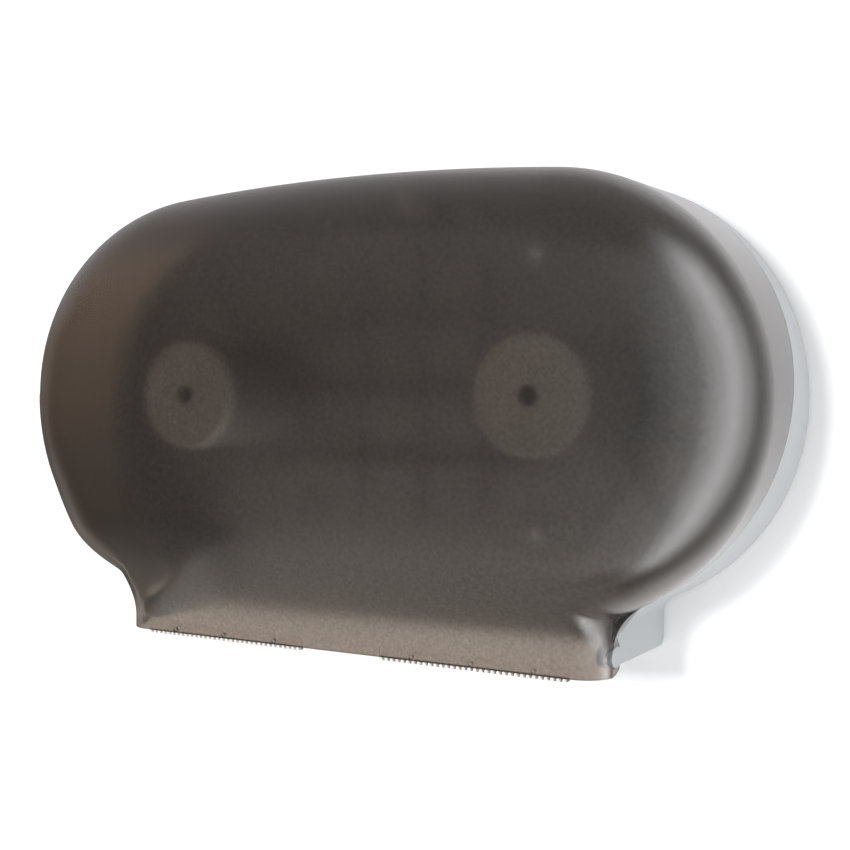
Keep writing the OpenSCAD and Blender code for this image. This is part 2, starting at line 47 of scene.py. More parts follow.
# Sizes in millimetres that this cover and the solid one have in common
SPINDLE_X = 123.0
LOBE_R = 131.0
ARCH_RISE = 4.0
BODY_DEPTH = 137.0
DRAFT_DEG = 2.0
COVER_WALL = 2.8
CROWN_REACH = 112.0
NECK_X = 170.0
NECK_FILLET = 10.0
LIP_DROP = 154.0
LIP_TUCK = 33.0
TUCK_START = 86.0
LIP_LAND = 7.0
SEAM_DEPTH = 30.0
SEAM_SLOPE = 0.19

# Sizes of the front that follow the photo a little closer than the solid cover
SIDE_DEPTH = 70.0
FRONT_ROUND = 49.0
CROWN = 11.0
NECK_SIDE = 87.5
NECK_ROUND = 19.3
CREASE_FROM = -86.0
CREASE_TO = -135.4
ROUND_FADE_FROM = -54.6
ROUND_FADE_OVER = 75.8
FRONT_R = 130.5
FRONT_RISE = 5.2
FRONT_FILLET = 29.0
FRONT_TAPER = 0.001
VALLEY_SOFTNESS = 0.7

# Hinge pins, and the hooks of the cover that hold them
HINGE_Y = -82.0
HINGE_Z = -143.7
HINGE_R = 6.3
RUN_FIT = 0.05
HOOK_SLOT = 5.5
SLOT_SNAP = 0.4
SLOT_POINTS = 25
HOOK_TOP = -118.0
HOOK_BACK_Z = -112.0
HOOK_BACK_GAP = 8.0
HOOK_INWARD = 4.0
HOOK_OUTWARD = 20.0
HOOK_BELOW = 1.0
# Edge of a hook from its top down, in Y and Z from the axis of the pin
HOOK_EDGE = [(24, 20.5), (6.5, 14.4), (-3, 12), (0.6, 9.2), (3.9, 5), (0, 1),
             (0, -1), (3.9, -5), (2.6, -7.4), (-2, -9.4), (-8, -10.4)]

# Pad and bore of the lock at the top of the cover
LOCK_OUT = 24.0
LOCK_R = 8.0
LOCK_FIT = 0.1
LOCK_PAD_R = 13.0
PAD_LAP = 0.1
BORE_PAST = 2.0

# Tear bars, and the stakes that hold them behind the lip
STAKE_R = 1.3
STAKE_HEAD = 0.8
STAKE_ROOT = 1.0
STAKES = 3
BAR_T = 1.6
BAR_LOW = 2.4
BAR_H = 8.0
BAR_EASE = 0.06
TOOTH_START = 30.0
TOOTH_PITCH = 3.68
TEETH = 33

# Points along each stretch of half an outline, and rows of points across the shell
N_ARCH = 36
N_LOBE = 108
N_FILLET = 16
N_NECK = 14
N_BOTTOM = 48
ROUND_ROWS = 40
CROWN_ROWS = 12
CROWN_END = 0.86
SIDE_ROWS = 6
BAR_STEPS = 64
STAKE_STEPS = 32

# Points closer than this become one, in the cover and in a copy of a node
LOFT_WELD = 0.002
NODE_WELD = 0.004
# Angles in degrees: faces that count as flat, edges that are rounded, and edges that stay sharp
FLAT_DEG = 0.4
ROUNDED_DEG = 30
COVER_SHARP_DEG = 32
NODE_SHARP_DEG = 50
# Width of the rounding of edges
TRAY_EDGE = 0.5
BAR_EDGE = 0.15
EVEN_WEIGHT = 100

# Finishes of the cover, by the number of the slot
FRONT, SIDE, INSIDE = 0, 1, 2

# Nearly all of a noise lies between these two values
NOISE_LOW = 0.3
NOISE_HIGH = 0.7
# Heights of the grain in metres
FROST = 0.0002
FINE_GRAIN = 0.0001

# Smoked plastic
SMOKE_IOR = 1.49
SPECKLE = 0.15
SMOKE_DARK = (0.345, 0.322, 0.302)
SMOKE_LIGHT = (0.375, 0.352, 0.328)

# Toothed strip: what lies behind the lip, what shows under it, and the teeth in front, whose pale colour is a
# painted highlight of their lit tips
STRIP_IOR = 1.15
STRIP_CLEAR = (0.97, 0.96, 0.95)
STRIP_DARK = (0.20, 0.17, 0.145)
STRIP_LIGHT = (0.26, 0.22, 0.19)
STRIP_CLEARNESS = 0.15
TEETH_DARK = (0.72, 0.69, 0.65)
TEETH_LIGHT = (0.80, 0.77, 0.73)
TEETH_AHEAD = 0.2
LIP_BLEND = 0.0003
TEETH_BLEND = 0.0001

# Tray, and the face and sleeve of a hub, which meet between two depths in metres. The dark sleeve is painted
# shade, for the dimmer light deeper behind the face
TRAY_DARK = (0.375, 0.39, 0.395)
TRAY_LIGHT = (0.405, 0.42, 0.425)
HUB_FACE = (0.76, 0.79)
HUB_SLEEVE_SHADE = (0.30, 0.34)
HUB_PALE_TO = -0.0915
HUB_SHADE_FROM = -0.0875

# Floor and wall, in metres
FLOOR_Z = -0.62
FLOOR_REACH = 4.0
WALL_Y = 0.0015
WALL_REACH = 2.0
WALL_TOP = 1.4
WALL_GLOW = 0.08
# Painted glow of the wall, which only rays that passed the cover see
BEHIND_LEFT_LOW = (0.12, 0.11, 0.10)
BEHIND_LEFT_HIGH = (0.85, 0.66, 0.53)
BEHIND_RIGHT = (1.0, 1.0, 1.0)
BEHIND_TOP = (0.28, 0.22, 0.20)
BEHIND_BELOW = (0.80, 0.70, 0.62)
# Places in metres between which one of these goes over into the next
LEFT_RISE = (-0.16, 0.16)
LEFT_TO_RIGHT = (-0.22, 0.1)
TOP_RISE = (0.09, 0.15)
BELOW_FALL = (-0.12, -0.17)

# Light of the room as it is seen, as it falls on what lies inside the cover, and as it falls in the open
SEEN = {"front": (0.9, 0.9, 0.9), "left": (0.62, 0.45, 0.35), "right": (1.35, 1.35, 1.38),
        "low": (0.62, 0.62, 0.62), "top": (0.12, 0.10, 0.09), "top_from": 0.35, "top_full": 0.75}
INDOORS = {**SEEN, "low": (0.22, 0.22, 0.22), "top": (1.0, 0.87, 0.76), "top_from": 0.1, "top_full": 0.6}
OUTDOORS = {"front": (0.58, 0.59, 0.61), "left": (0.45, 0.45, 0.46), "right": (1.35, 1.38, 1.42),
            "low": (0.5, 0.51, 0.53), "top": (0.5, 0.51, 0.53), "top_from": 0.35, "top_full": 0.75}
SIDES_FROM = 0.2
SIDES_FULL = 0.7
LOW_FROM = -0.3
LOW_FULL = -0.6
# Light that reflections find, by degrees round the vertical from the front to the right
MIRRORED_MOST = 9.0
MIRRORED_ROUND = [(-180, 1.2), (-150, 0.7), (-120, 0.15), (-60, 0.15), (-35, 0.25), (-12, 0.6),
                  (20, 1.1), (60, 2.2), (85, 6.0), (100, 9.0), (115, 4.0), (132, 0.5),
                  (150, 0.7), (165, 1.2), (180, 1.2)]
MIRRORED_TALL = (0.98, 0.7)
MIRRORED_ABOVE = 0.55
MIRRORED_RISE = (0.03, 0.3)
MIRRORED_TINT = (0.99, 0.98, 1.0)

# Key light
KEY_PLACE = (-0.24, -2.55, 0.34)
KEY_SIZE = 0.45
KEY_POWER = 46

# Camera where the photograph's perspective puts it, level, with the horizon above the middle
CAMERA_PLACE = (0.4464, -0.7680, 0.0043)
CAMERA_YAW = 30.163
FOCAL_PX = 1331.9
HORIZON_ROW = 387.9
IMAGE_PX = 850
SENSOR_MM = 36.0

# Worked out from the sizes above
TAPER = math.tan(math.radians(DRAFT_DEG))
TOP_Z = LOBE_R + ARCH_RISE
N_SIDE = N_ARCH + N_LOBE + N_FILLET + N_NECK
N_HALF = N_SIDE + N_BOTTOM
N_RING = 2 * N_HALF
RING = np.arange(N_RING)
HALF = np.where(RING <= N_HALF, RING, N_RING - RING)
SIGN = np.where(RING <= N_HALF, 1.0, -1.0)
ON_BOTTOM = HALF > N_SIDE


class Outline:
    """Two lobes joined by a flat arch above, with a fillet between lobe and neck."""

    def __init__(self, lobe_r, rise, fillet):
        top = lobe_r + rise
        self.lobe_r = lobe_r
        self.arch_r = (SPINDLE_X ** 2 + top ** 2 - lobe_r ** 2) / (2 * rise)
        self.arch_z = top - self.arch_r
        self.arch_angle = math.atan2(SPINDLE_X, -self.arch_z)
        self.fillet = fillet


SEAM_LINE = Outline(LOBE_R, ARCH_RISE, NECK_FILLET)
FRONT_LINE = Outline(FRONT_R, FRONT_RISE, FRONT_FILLET)


def smooth(u):
    """Soft rise from nought to one while u goes from nought to one."""
    v = np.clip(u, 0, 1)
    return v * v * (3 - 2 * v)


def outline(line, inset, half_w, low):
    """X and Z of every point of a ring, whose inset may differ from point to point."""
    inset = np.broadcast_to(np.asarray(inset, float), HALF.shape)
    r = line.lobe_r - inset
    fillet_x = half_w + line.fillet - SPINDLE_X
    fillet_z = np.sqrt((r + line.fillet) ** 2 - fillet_x ** 2)
    past_arch = HALF - N_ARCH
    past_lobe = past_arch - N_LOBE
    past_fillet = past_lobe - N_FILLET
    past_neck = past_fillet - N_NECK
    top = line.arch_angle * HALF / N_ARCH
    lobe_from = math.pi / 2 - line.arch_angle
    lobe_to = -np.arctan2(fillet_z, fillet_x)
    turn = lobe_from + (lobe_to - lobe_from) * past_arch / N_LOBE
    bend_from = np.arctan2(fillet_z, -fillet_x)
    bend = bend_from + (math.pi - bend_from) * past_lobe / N_FILLET
    stretches = [past_arch <= 0, past_lobe <= 0, past_fillet <= 0, past_neck <= 0]
    x = np.select(stretches,
                  [(line.arch_r - inset) * np.sin(top), SPINDLE_X + r * np.cos(turn),
                   half_w + line.fillet * (1 + np.cos(bend)), half_w + 0 * r],
                  half_w * np.cos(math.pi / 2 * past_neck / N_BOTTOM))
    z = np.select(stretches,
                  [line.arch_z + (line.arch_r - inset) * np.cos(top), r * np.sin(turn),
                   line.fillet * np.sin(bend) - fillet_z,
                   (fillet_z - low) * past_fillet / N_NECK - fillet_z],
                  -low + 0 * r)
    return SIGN * x, z


def spine():
    """X of the point between the spindles that each point of a ring runs in to."""
    return SIGN * np.select([HALF <= N_ARCH, HALF <= N_SIDE],
                            [SPINDLE_X * HALF / N_ARCH, SPINDLE_X + 0.0 * HALF],
                            SPINDLE_X * np.cos(math.pi / 2 * (HALF - N_SIDE) / N_BOTTOM))


def seam_y(z):
    """Depth of the seam between cover and tray, at a height."""
    return -(SEAM_DEPTH - SEAM_SLOPE * z)


def crease_y(z):
    """Depth at which the sides turn into the rounding of the front, at a height."""
    share = smooth((CREASE_FROM - z) / (CREASE_FROM - CREASE_TO))
    return -(SIDE_DEPTH + (NECK_SIDE - SIDE_DEPTH) * share)


def edge_distance(x, z, off):
    """Distance of a point of the front from the side outline, softened in the valley at the neck."""
    ax = np.abs(x)
    inset = SIDE_DEPTH * FRONT_TAPER + off
    lobe = FRONT_R - inset - np.hypot(ax - SPINDLE_X, z)
    neck = NECK_X - off - ax
    both = np.maximum(np.maximum(lobe, neck), 0)
    arch = FRONT_LINE.arch_r - inset - np.hypot(ax, z - FRONT_LINE.arch_z)
    softened = np.sqrt((lobe - neck) ** 2 + (VALLEY_SOFTNESS * both) ** 2)
    valley = np.maximum(0, 0.5 * (lobe + neck + softened))
    return np.where(np.arctan2(ax, z - FRONT_LINE.arch_z) < FRONT_LINE.arch_angle, arch,
                    np.where(z >= 0, np.maximum(0, lobe), valley))


def crown_distance(x, z, e):
    """Distance from the edge that the crown goes by. Under the spindles it doesn't depend on the height."""
    under = FRONT_R - SIDE_DEPTH * FRONT_TAPER - np.maximum(0, np.abs(x) - SPINDLE_X)
    return np.where(z >= 0, e, under)


def front_y(x, z, off):
    """Front surface of the shell, off being its distance inside the outer face."""
    e = edge_distance(x, z, off)
    rise = 1 - np.minimum(1, crown_distance(x, z, e) / CROWN_REACH)
    fade = smooth((ROUND_FADE_FROM - z) / ROUND_FADE_OVER)
    r = FRONT_ROUND + (NECK_ROUND - FRONT_ROUND) * fade - off
    u = np.minimum(1, e / r)
    tuck = LIP_TUCK * smooth((-z - TUCK_START) / (LIP_DROP - LIP_LAND - TUCK_START))
    face = -(BODY_DEPTH - off) + CROWN * rise ** 2 + tuck
    crease = crease_y(z)
    return crease + (face - crease) * np.sqrt(np.maximum(0, 1 - (1 - u) ** 2))


def points(x, y, z):
    """One row of X, Y and Z for each point of a ring."""
    return np.stack([np.broadcast_to(a, (N_RING,)) for a in (x, y, z)], axis=1).astype(float)


def crease_ring(off):
    """Ring along the crease, which is the front edge of the sides."""
    half_w = NECK_X - off
    z = outline(FRONT_LINE, SIDE_DEPTH * FRONT_TAPER + off, half_w, LIP_DROP)[1]
    x, z = outline(FRONT_LINE, -crease_y(z) * FRONT_TAPER + off, half_w, LIP_DROP)
    return points(x, np.where(ON_BOTTOM, front_y(x, z, off), crease_y(z)), z)


def seam_ring(off):
    """Ring along the seam, which is the rear edge of the sides."""
    z = outline(SEAM_LINE, SEAM_DEPTH * TAPER, NECK_X, LIP_DROP)[1]
    x, z = outline(SEAM_LINE, -seam_y(z) * TAPER + off, NECK_X - off, LIP_DROP)
    return points(x, seam_y(z), z)


def front_ring(share, off, edge):
    """Ring on the front, a share of the way from the edge in to the line between the spindles."""
    x = edge[:, 0] * (1 - share) + spine() * share
    z = edge[:, 2] * (1 - share)
    y = front_y(x, z, off) if share < CROWN_END else -(BODY_DEPTH - off)
    return points(x, y, z)


def cover_rings(off):
    """Rings of one face of the shell from the flat middle out to the seam."""
    round_part = [(1 - math.cos(math.pi / 2 * k / ROUND_ROWS)) * FRONT_ROUND / FRONT_R
                  for k in range(1, ROUND_ROWS + 1)]
    start = round_part[-1]
    crown_part = [start + (CROWN_END - start) * k / CROWN_ROWS for k in range(1, CROWN_ROWS + 1)]
    edge = crease_ring(off)
    seam = seam_ring(off)
    # The bottom has no side wall, so the seam there is the lip's own edge
    seam[ON_BOTTOM] = edge[ON_BOTTOM]
    rows = [front_ring(share, off, edge) for share in reversed(round_part + crown_part)]
    side = [edge + (seam - edge) * k / SIDE_ROWS for k in range(0, SIDE_ROWS + 1)]
    return rows + side


def new_object(name, data):
    """Object in the scene with a mesh, a light or a camera."""
    obj = bpy.data.objects.new(name, data)
    bpy.context.scene.collection.objects.link(obj)
    return obj


def object_from(name, bm):
    """New object with the mesh that was built, which is then freed."""
    mesh = bpy.data.meshes.new(name)
    bm.to_mesh(mesh)
    bm.free()
    return new_object(name, mesh)


def loft(name, rings, finishes):
    """Closed mesh through rings of points, with the number of a finish for each ring."""
    n = len(rings[0])
    bm = bmesh.new()
    verts = [[bm.verts.new(p * MM) for p in ring] for ring in rings]
    for k, (a, b) in enumerate(zip(verts[:-1], verts[1:])):
        for i in range(n):
            j = (i + 1) % n
            bm.faces.new((a[i], a[j], b[j], b[i])).material_index = finishes[k]
    bm.faces.new(reversed(verts[0])).material_index = finishes[0]
    bm.faces.new(verts[-1]).material_index = finishes[-1]
    bmesh.ops.remove_doubles(bm, verts=bm.verts, dist=LOFT_WELD * MM)
    bmesh.ops.recalc_face_normals(bm, faces=bm.faces)
    return object_from(name, bm)


def prism(name, profile, x0, x1):
    """Slab with a side profile in Y and Z, between two distances across."""
    bm = bmesh.new()
    ends = [[bm.verts.new((x * MM, y * MM, z * MM)) for y, z in profile] for x in (x0, x1)]
    bm.faces.new(ends[0])
    bm.faces.new(reversed(ends[1]))
    for i in range(len(profile)):
        j = (i + 1) % len(profile)
        bm.faces.new((ends[0][j], ends[0][i], ends[1][i], ends[1][j]))
    bmesh.ops.recalc_face_normals(bm, faces=bm.faces)
    return object_from(name, bm)


def round_bar(name, centre, axis, r, length, steps=BAR_STEPS):
    """Cylinder about an axis through its centre."""
    bm = bmesh.new()
    bmesh.ops.create_cone(bm, cap_ends=True, segments=steps,
                          radius1=r * MM, radius2=r * MM, depth=length * MM)
    bar = object_from(name, bm)
    bar.data.transform(Vector((0, 0, 1)).rotation_difference(Vector(axis)).to_matrix().to_4x4())
    for v in bar.data.vertices:
        v.co += Vector(centre) * MM
    return bar


def soften(obj, angle):
    """Smooth shading, with the edges above an angle kept sharp."""
    obj.data.polygons.foreach_set("use_smooth", [True] * len(obj.data.polygons))
    obj.data.set_sharp_from_angle(angle=math.radians(angle))


def apply_modifiers(obj):
    """Keeps what the modifiers make as the object's own mesh."""
    graph = bpy.context.evaluated_depsgraph_get()
    made = bpy.data.meshes.new_from_object(obj.evaluated_get(graph), depsgraph=graph)
    obj.modifiers.clear()
    obj.data = made


def combine(target, tools, operation):
    """Applies a boolean with each tool, then removes the tools."""
    for tool in tools:
        mod = target.modifiers.new("cut", "BOOLEAN")
        mod.operation = operation
        mod.solver = "MANIFOLD"
        mod.object = tool
    apply_modifiers(target)
    for tool in tools:
        bpy.data.objects.remove(tool)


def hook_tools(side):
    """What is cut away behind and round the hook on one side."""
    back = seam_y(HOOK_BACK_Z) + HOOK_BACK_GAP
    bottom = -LIP_DROP - HOOK_BELOW
    edge = [(HINGE_Y + y, HINGE_Z + z) for y, z in HOOK_EDGE]
    profile = [(back, HOOK_TOP)] + edge + [(edge[-1][0], bottom), (back, bottom)]
    x0 = NECK_X - COVER_WALL - HOOK_INWARD
    x1 = NECK_X + HOOK_OUTWARD
    low, high = sorted((side * x0, side * x1))
    slot = HINGE_R - SLOT_SNAP
    arc = [(HINGE_Y - HOOK_SLOT - slot * math.sin(t), HINGE_Z + slot * math.cos(t))
           for t in np.linspace(0, math.pi, SLOT_POINTS)]
    middle = (side * (x0 + x1) / 2, HINGE_Y, HINGE_Z)
    return [prism("hook_cut", profile, low, high),
            round_bar("pin_cut", middle, (1, 0, 0), HINGE_R + RUN_FIT, x1 - x0),
            prism("slot_cut", arc + [(HINGE_Y, HINGE_Z - slot), (HINGE_Y, HINGE_Z + slot)], low, high)]


def lock_pad():
    """Round pad that thickens the top of the cover at the lock, and the bore through it."""
    hollow = LOCK_PAD_R ** 2 / (2 * SEAM_LINE.arch_r)
    low = TOP_Z - COVER_WALL - (LOCK_OUT + LOCK_PAD_R) * TAPER - hollow - PAD_LAP
    high = TOP_Z - (LOCK_OUT - LOCK_PAD_R) * TAPER + PAD_LAP
    middle = (0, -LOCK_OUT, (low + high) / 2)
    pad = round_bar("pad", middle, (0, 0, 1), LOCK_PAD_R, high - low)
    bore = round_bar("bore", middle, (0, 0, 1), LOCK_R + LOCK_FIT, high - low + 2 * BORE_PAST)
    return pad, bore


def stakes():
    """Stakes behind the lip, from inside the wall to their heads behind the bars."""
    y = COVER_WALL - (BODY_DEPTH - LIP_TUCK) + (BAR_T + STAKE_HEAD - STAKE_ROOT) / 2
    z = -LIP_DROP - BAR_LOW + BAR_H / 2
    run = (TEETH - 1) * TOOTH_PITCH
    return [round_bar("stake", (side * (TOOTH_START + run * (k + 0.5) / STAKES), y, z), (0, 1, 0),
                      STAKE_R, BAR_T + STAKE_HEAD + STAKE_ROOT, STAKE_STEPS)
            for side in (-1, 1) for k in range(STAKES)]


def make_cover(front_finish, side_finish, inside_finish):
    """Loft from the outer face round the seam to the inner face, then the pad, the stakes and the hooks."""
    outer = cover_rings(0)
    inner = cover_rings(COVER_WALL)
    side_rings = SIDE_ROWS + 1
    finishes = [FRONT] * (len(outer) - side_rings) + [SIDE] * side_rings + [INSIDE] * len(inner)
    cover = loft("cover_shell", outer + inner[::-1], finishes)
    for finish in (front_finish, side_finish, inside_finish):
        cover.data.materials.append(finish)
    pad, bore = lock_pad()
    combine(cover, [pad] + stakes(), "UNION")
    combine(cover, [bore] + hook_tools(1) + hook_tools(-1), "DIFFERENCE")
    soften(cover, COVER_SHARP_DEG)
    return cover


def dressed(name, body, slot, width, moved=(0, 0, 0)):
    """Closed copy of a node that shades smoothly and has its sharp edges rounded a little."""
    bm = bmesh.new()
    bm.from_mesh(frame["nodes"][name].data)
    bmesh.ops.remove_doubles(bm, verts=bm.verts, dist=NODE_WELD * MM)
    bmesh.ops.dissolve_limit(bm, angle_limit=math.radians(FLAT_DEG), verts=bm.verts, edges=bm.edges)
    bm.verts.index_update()
    corners = [tuple(v.co) for v in bm.verts]
    faces = [[v.index for v in f.verts] for f in bm.faces]
    bm.free()
    mesh = bpy.data.meshes.new(name + "_dressed")
    mesh.from_pydata(corners, [], faces)
    mesh.materials.append(FINISHES[slot])
    mesh.transform(Matrix.Translation(Vector(moved) * MM))
    piece = new_object(name + "_dressed", mesh)
    rounding = piece.modifiers.new("rounding", "BEVEL")
    rounding.width = width * MM
    rounding.segments = 2
    rounding.limit_method = "ANGLE"
    rounding.angle_limit = math.radians(ROUNDED_DEG)
    apply_modifiers(piece)
    soften(piece, NODE_SHARP_DEG)
    evened = piece.modifiers.new("even_normals", "WEIGHTED_NORMAL")
    evened.weight = EVEN_WEIGHT
    evened.keep_sharp = True
    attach(piece, body)
    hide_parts(name)


class Nodes:
    """Short way of writing the nodes of a material or of the world."""

    def __init__(self, tree):
        self.tree = tree

    def new(self, kind):
        """New node of a kind, such as Math."""
        return self.tree.nodes.new("ShaderNode" + kind)

    def put(self, socket, value):
        """Links an output to a socket, or gives the socket a number or a colour."""
        if hasattr(value, "links"):
            self.tree.links.new(value, socket)
        elif hasattr(value, "__len__"):
            socket.default_value = (*value, 1)
        else:
            socket.default_value = value

    def place(self, kind="Object"):
        """X, Y and Z of the shaded place, or of the direction looked in."""
        split = self.new("SeparateXYZ")
        self.put(split.inputs[0], self.new("TexCoord").outputs[kind])
        return split.outputs

    def noise(self, scale, detail):
        """Noise over the object's own coordinates, per metre."""
        node = self.new("TexNoise")
        self.put(node.inputs["Vector"], self.new("TexCoord").outputs["Object"])
        self.put(node.inputs["Scale"], scale)
        self.put(node.inputs["Detail"], detail)
        return node.outputs["Fac"]

    def math(self, kind, *values):
        """Number worked out from others."""
        node = self.new("Math")
        node.operation = kind
        for socket, value in zip(node.inputs, values):
            self.put(socket, value)
        return node.outputs[0]

    def product(self, first, second):
        """Two colours multiplied."""
        node = self.new("VectorMath")
        node.operation = "MULTIPLY"
        self.put(node.inputs[0], first)
        self.put(node.inputs[1], second)
        return node.outputs[0]

    def step(self, value, low, high, to_low=0.0, to_high=1.0, kind="SMOOTHSTEP"):
        """Goes from one value to another while the input goes from low to high."""
        node = self.new("MapRange")
        node.interpolation_type = kind
        for socket, level in zip(node.inputs, (value, low, high, to_low, to_high)):
            self.put(socket, level)
        return node.outputs[0]

    def below(self, value, edge, over):
        """One where a value is under an edge, falling to nought over a small width."""
        return self.step(value, edge + over, edge, kind="LINEAR")

    def ramp(self, value, stops, kind="LINEAR"):
        """Colour or grey that runs through stops while the input goes from nought to one."""
        node = self.new("ValToRGB")
        node.color_ramp.interpolation = kind
        elements = node.color_ramp.elements
        while len(elements) < len(stops):
            elements.new(0.5)
        for element, (place, colour) in zip(elements, stops):
            element.position = place
            element.color = (*colour, 1) if hasattr(colour, "__len__") else (colour, colour, colour, 1)
        self.put(node.inputs[0], value)
        return node.outputs[0]

    def mottled(self, value, dark, light):
        """Mingles a dark and a light colour or grey by a noise."""
        return self.ramp(value, [(NOISE_LOW, dark), (NOISE_HIGH, light)])

    def blend(self, share, first, second):
        """Colour between two others, and past the second where the share is over one."""
        node = self.new("Mix")
        node.data_type = "RGBA"
        node.clamp_factor = False
        for name, value in (("Factor_Float", share), ("A_Color", first), ("B_Color", second)):
            self.put(next(i for i in node.inputs if i.identifier == name), value)
        return next(o for o in node.outputs if o.identifier == "Result_Color")

    def lay_over(self, share, shader):
        """Shows another shader in place of the material's own, by a share."""
        shown = next(node for node in self.tree.nodes if node.type == "OUTPUT_MATERIAL").inputs[0]
        mix = self.new("MixShader")
        for socket, value in zip(mix.inputs, (share, shown.links[0].from_socket, shader)):
            self.put(socket, value)
        self.put(shown, mix.outputs[0])


def make_material(name):
    """A new material, the writer of its nodes, and the inputs of its one shader."""
    mat = bpy.data.materials.new(name)
    mat.use_nodes = True
    mat.node_tree.nodes.clear()
    n = Nodes(mat.node_tree)
    shader = n.new("BsdfPrincipled")
    n.put(n.new("OutputMaterial").inputs[0], shader.outputs[0])
    return mat, n, shader.inputs


def add_grain(n, skin, scale, detail, rough, strength=0.0, height=FINE_GRAIN):
    """Fine noise that varies the roughness and, with a strength, raises the surface."""
    fine = n.noise(scale, detail)
    n.put(skin["Roughness"], n.mottled(fine, *rough))
    if strength > 0:
        raised = n.new("Bump")
        n.put(raised.inputs["Strength"], strength)
        n.put(raised.inputs["Distance"], height)
        n.put(raised.inputs["Height"], fine)
        n.put(skin["Normal"], raised.outputs[0])


def smoked_plastic(name, rough, strength=0.0):
    """Smoked translucent plastic: faint clouds and specks of colour over a frosted grain."""
    mat, n, skin = make_material(name)
    n.put(skin["IOR"], SMOKE_IOR)
    n.put(skin["Transmission Weight"], 1.0)
    cloud = n.mottled(n.noise(scale=9, detail=4), SMOKE_DARK, SMOKE_LIGHT)
    specks = n.mottled(n.noise(scale=480, detail=1), 1 - SPECKLE, 1 + SPECKLE)
    n.put(skin["Base Color"], n.product(cloud, specks))
    add_grain(n, skin, scale=900, detail=2, rough=rough, strength=strength, height=FROST)
    return mat


def toothed_strip():
    """Clear plastic behind the lip, smoked below it, with the teeth in front painted pale as a highlight of
    their lit tips.
    """
    mat, n, skin = make_material("bar_finish")
    place = n.place()
    cloud = n.noise(scale=90, detail=4)
    under_lip = n.below(place["Z"], -LIP_DROP * MM, LIP_BLEND)
    plate = n.blend(under_lip, STRIP_CLEAR, n.mottled(cloud, STRIP_DARK, STRIP_LIGHT))
    teeth_y = (COVER_WALL - BODY_DEPTH + LIP_TUCK - TEETH_AHEAD) * MM
    in_front = n.below(place["Y"], teeth_y, TEETH_BLEND)
    # Painted highlight: the teeth are made pale for the light their tips catch
    n.put(skin["Base Color"], n.blend(in_front, plate, n.mottled(cloud, TEETH_DARK, TEETH_LIGHT)))
    n.put(skin["Transmission Weight"], n.ramp(under_lip, [(0.0, 1.0), (1.0, STRIP_CLEARNESS)]))
    n.put(skin["IOR"], STRIP_IOR)
    add_grain(n, skin, scale=1400, detail=2, rough=(0.05, 0.08))
    return mat


def moulded(name, colour):
    """Satin moulded plastic over a fine grain. colour(n, cloud) makes its colour from a slow noise."""
    mat, n, skin = make_material(name)
    n.put(skin["Base Color"], colour(n, n.noise(scale=14, detail=5)))
    add_grain(n, skin, scale=1400, detail=2, rough=(0.38, 0.5), strength=0.12)
    return mat


def tray_colour(n, cloud):
    """Light grey."""
    return n.mottled(cloud, TRAY_DARK, TRAY_LIGHT)


def hub_colour_and_shade(n, cloud):
    """Pale end face and rim, with painted shade darkening the sleeve behind them."""
    # Painted shade: the sleeve goes dark with depth behind the pale face
    pale_part = n.below(n.place()["Y"], HUB_PALE_TO, HUB_SHADE_FROM - HUB_PALE_TO)
    return n.blend(pale_part, n.mottled(cloud, *HUB_SLEEVE_SHADE), n.mottled(cloud, *HUB_FACE))


def metal(name, dark, light, rough):
    """Plated metal with a slightly uneven colour and shine."""
    mat, n, skin = make_material(name)
    n.put(skin["Metallic"], 1.0)
    n.put(skin["Base Color"], n.mottled(n.noise(scale=160, detail=5), dark, light))
    add_grain(n, skin, scale=900, detail=3, rough=rough, strength=0.08)
    return mat


def pale(name, dark, light, glow):
    """Matt white of the floor or the wall."""
    mat, n, skin = make_material(name)
    n.put(skin["Base Color"], n.mottled(n.noise(scale=3, detail=3), dark, light))
    n.put(skin["Roughness"], 0.8)
    n.put(skin["Specular IOR Level"], 0.0)
    n.put(skin["Emission Color"], (1, 1, 1))
    n.put(skin["Emission Strength"], glow)
    return mat


def wall_plaster():
    """White wall with a painted glow that only rays through the cover see, warm and dim on the left and
    above.
    """
    mat = pale("pale_wall", 0.90, 0.91, WALL_GLOW)
    n = Nodes(mat.node_tree)
    place = n.place()
    left = n.blend(n.step(place["Z"], *LEFT_RISE), BEHIND_LEFT_LOW, BEHIND_LEFT_HIGH)
    across = n.blend(n.step(place["X"], *LEFT_TO_RIGHT), left, BEHIND_RIGHT)
    above = n.blend(n.step(place["Z"], *TOP_RISE), across, BEHIND_TOP)
    # Painted glow: the wall shines with these colours for rays that passed the cover
    glow = n.new("Emission")
    n.put(glow.inputs[0], n.blend(n.step(place["Z"], *BELOW_FALL), above, BEHIND_BELOW))
    n.lay_over(n.new("LightPath").outputs["Is Transmission Ray"], glow.outputs[0])
    # From its back the wall is clear, so that it never hides the part
    n.lay_over(n.new("NewGeometry").outputs["Backfacing"], n.new("BsdfTransparent").outputs[0])
    return mat


def flat_plane(name, corners, mat):
    """Plane of the stage, which reflections don't show."""
    mesh = bpy.data.meshes.new(name)
    mesh.from_pydata(corners, [], [(0, 1, 2, 3)])
    mesh.materials.append(mat)
    obj = new_object(name, mesh)
    obj.visible_glossy = False


def room_light(n, place, light):
    """Light of a room by the direction: its front, its two sides, what is low and what is above."""
    right = n.blend(n.step(place["X"], SIDES_FROM, SIDES_FULL), light["front"], light["right"])
    sides = n.blend(n.step(place["X"], -SIDES_FROM, -SIDES_FULL), right, light["left"])
    lower = n.blend(n.step(place["Z"], LOW_FROM, LOW_FULL), sides, light["low"])
    return n.blend(n.step(place["Z"], light["top_from"], light["top_full"]), lower, light["top"])


